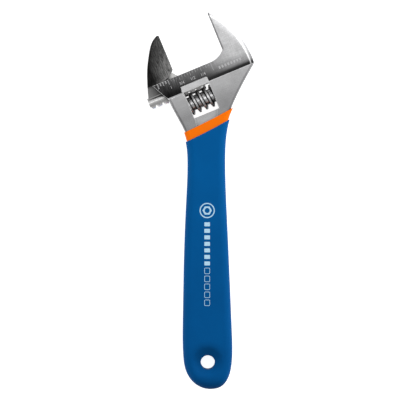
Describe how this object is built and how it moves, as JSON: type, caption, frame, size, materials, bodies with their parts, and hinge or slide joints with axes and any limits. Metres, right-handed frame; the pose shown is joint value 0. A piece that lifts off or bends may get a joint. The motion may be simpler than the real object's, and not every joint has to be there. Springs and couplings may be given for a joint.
{
  "type": "adjustable wrench",
  "caption": "Adjustable wrench with a tilted head, a jaw that slides on a rack and worm, and a dipped grip with a hang hole.",
  "frame": {"origin": "centre of the hang hole, on the middle plane of the wrench's thickness", "axes": "+Y runs up the handle to the head, +Z is square to the flat of the wrench on the side with the scale, +X points to the fixed jaw's side"},
  "size_m": [0.0595, 0.2086, 0.0152],
  "materials": {
    "forged_steel": "satin chrome plate with ground faces",
    "jaw_steel": "satin chrome plate, brushed along the jaw",
    "screw_steel": "polished",
    "pin_steel": "turned",
    "spring_steel": "drawn wire",
    "inner_coat": "semi-gloss dipped vinyl",
    "outer_coat": "satin dipped vinyl"
  },
  "bodies": {
    "body": {"body": "forged_steel", "screw_pin": "pin_steel", "screw_spring": "spring_steel", "grip_inner": "inner_coat", "grip_outer": "outer_coat"},
    "jaw": {"movable_jaw": "jaw_steel"},
    "worm": {"adjusting_screw": "screw_steel"}
  },
  "joints": [
    {"name": "jaw_slide", "type": "slide", "parent": "body", "child": "jaw", "axis": [0.9239, 0.3827, 0], "range_m": [-0.0015, 0.02975]},
    {"name": "worm_spin", "type": "hinge", "parent": "body", "child": "worm", "pos_m": [-0.00362, 0.14513, 0], "axis": [0.9239, 0.3827, 0], "range_deg": [-2760, 150]}
  ],
  "couplings": [
    {"joint": "worm_spin", "follows": "jaw_slide", "rad_per_m": -1611.1}
  ]
}
